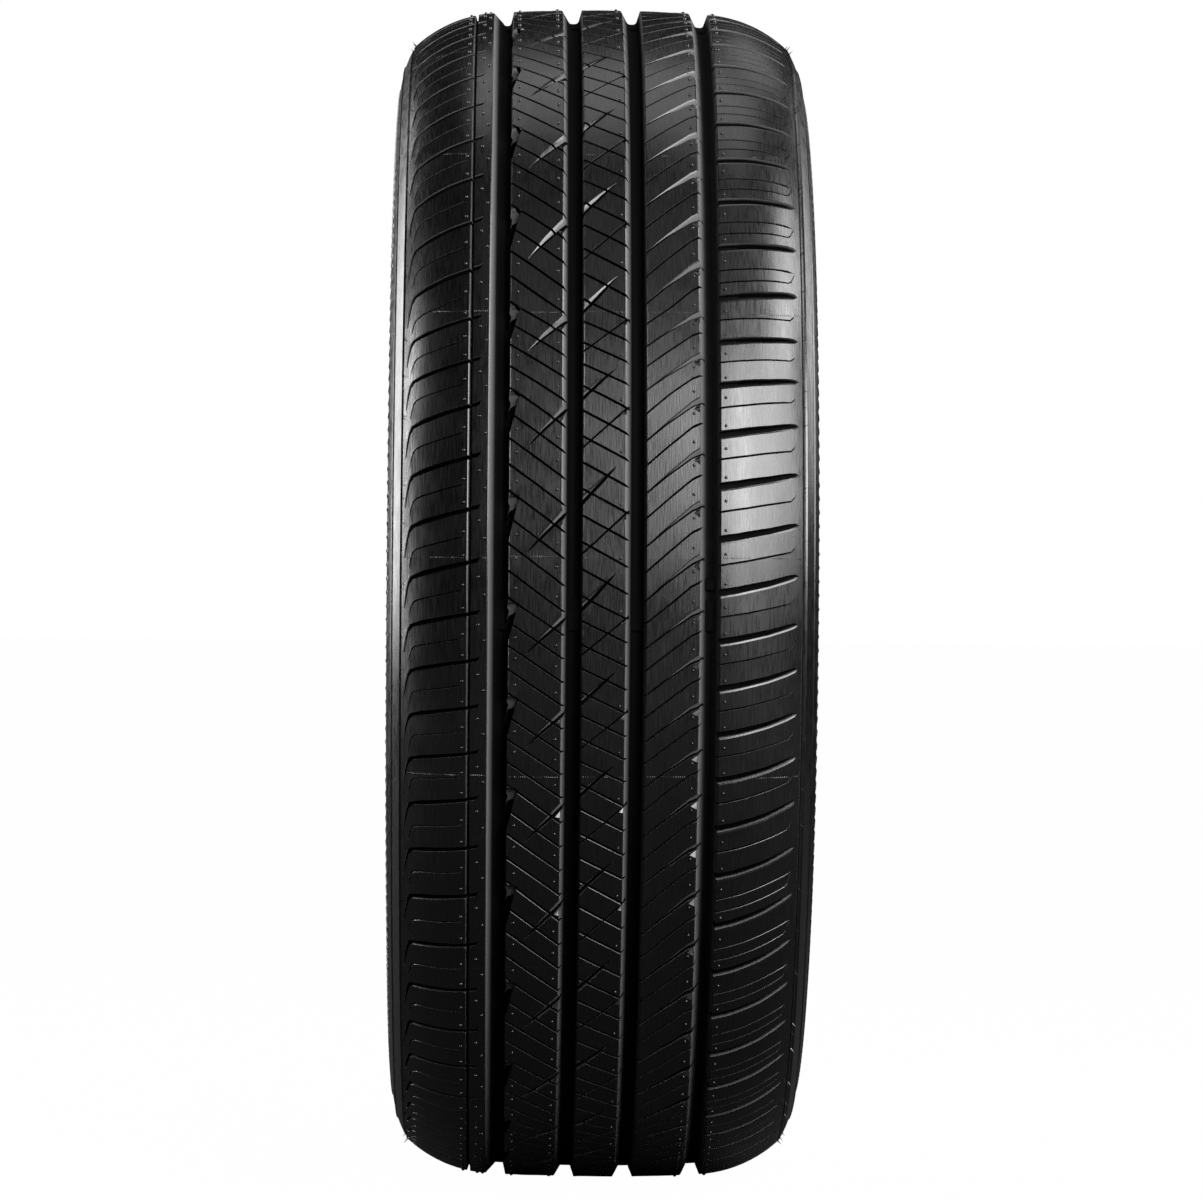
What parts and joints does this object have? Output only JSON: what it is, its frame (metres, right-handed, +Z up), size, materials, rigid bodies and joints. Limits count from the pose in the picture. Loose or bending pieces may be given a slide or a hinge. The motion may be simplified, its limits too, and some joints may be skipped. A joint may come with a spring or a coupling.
{
  "type": "car tyre",
  "caption": "Passenger-car tyre with a ribbed, slotted all-weather tread, plain sidewalls and two beads that seat on a wheel rim.",
  "frame": {"origin": "centre of the wheel: on the axle line, midway between the two bead seats", "axes": "+Y along the axle line, towards the picture's right; +Z up; +X towards the camera. The tyre stands on its tread at -Z"},
  "size_m": [0.6792, 0.233, 0.6763],
  "materials": {
    "tyre_rubber": "matte"
  },
  "bodies": {
    "root": {"tyre": "tyre_rubber"}
  },
  "joints": []
}
